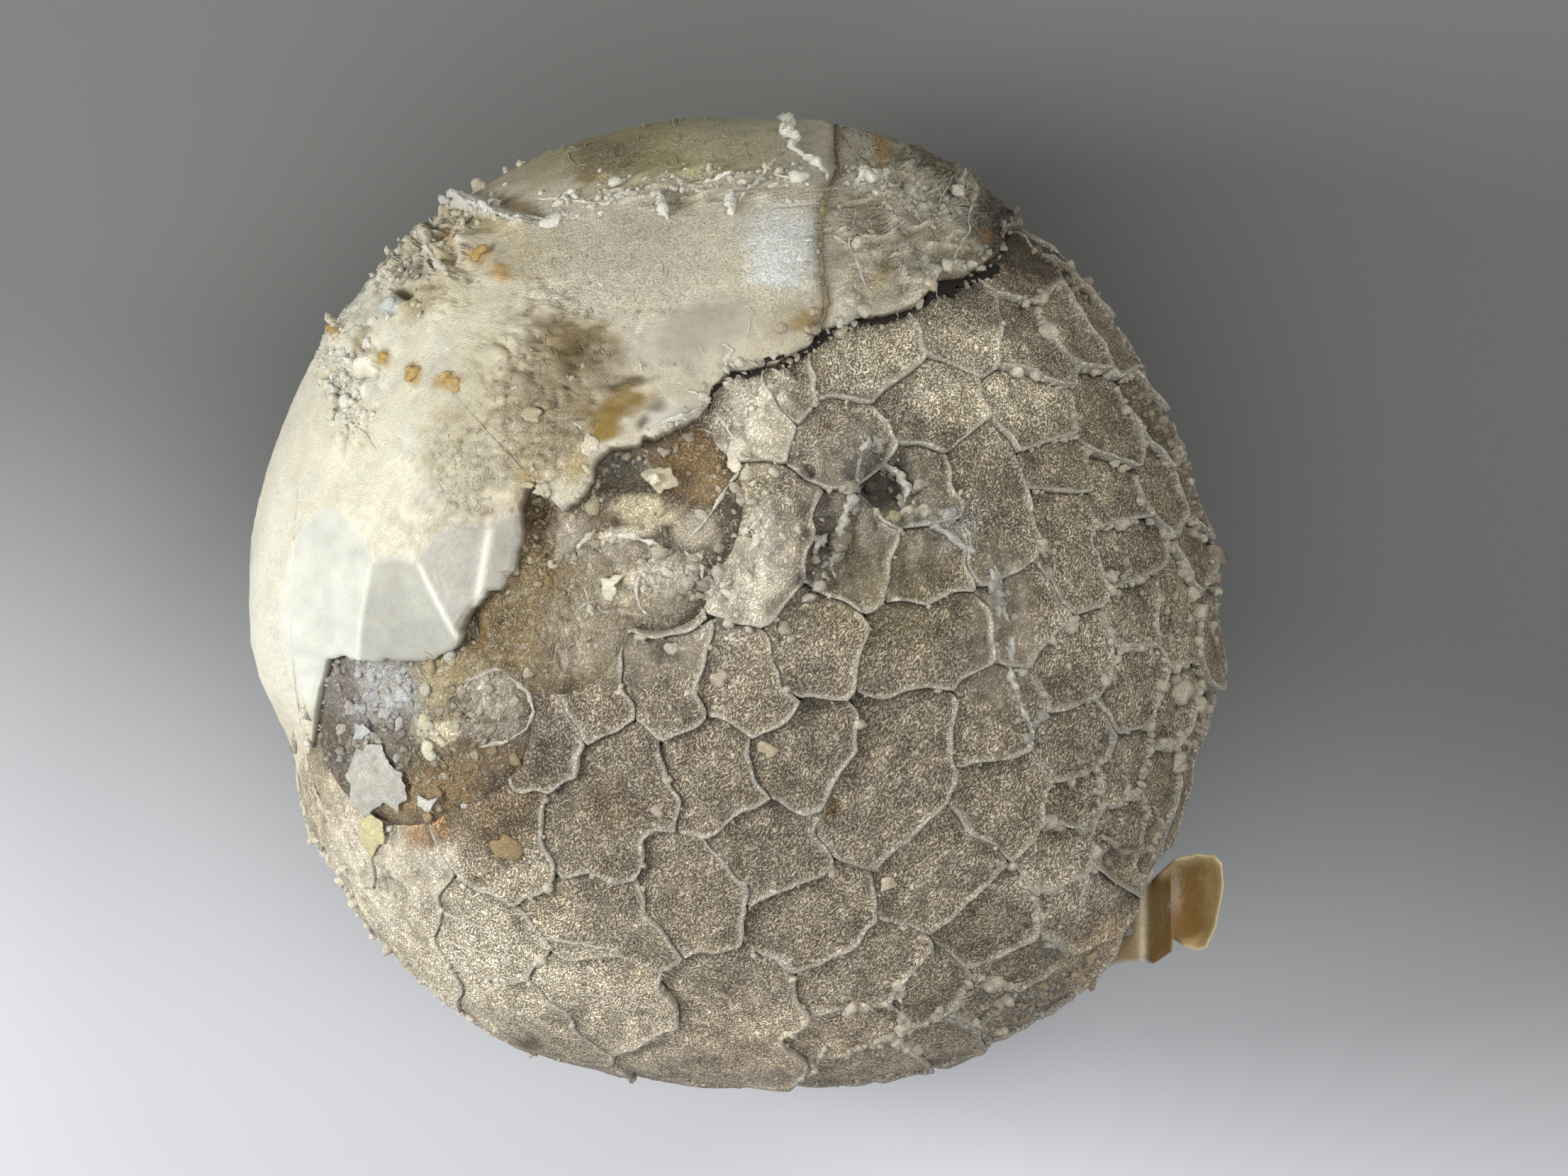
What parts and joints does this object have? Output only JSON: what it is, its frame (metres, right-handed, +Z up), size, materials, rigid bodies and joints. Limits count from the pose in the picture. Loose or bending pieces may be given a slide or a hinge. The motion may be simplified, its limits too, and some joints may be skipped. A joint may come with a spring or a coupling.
{
  "type": "fossil sea urchin",
  "caption": "Globular flint mould of a sea urchin with shingled test plates, a ragged pale shell layer and a small broken flange, resting on its flat spot.",
  "frame": {"origin": "middle of the small flat spot that the stone rests on", "axes": "+Z up through the top of the dome; the shell layer covers the dome towards -X and +Y, and the flange stands out towards +X and -Y"},
  "size_m": [0.0362, 0.0364, 0.0288],
  "materials": {
    "stone": "grainy grey-brown flint with a cream-white patina"
  },
  "bodies": {
    "root": {"fossil_sea_urchin": "stone"}
  },
  "joints": []
}
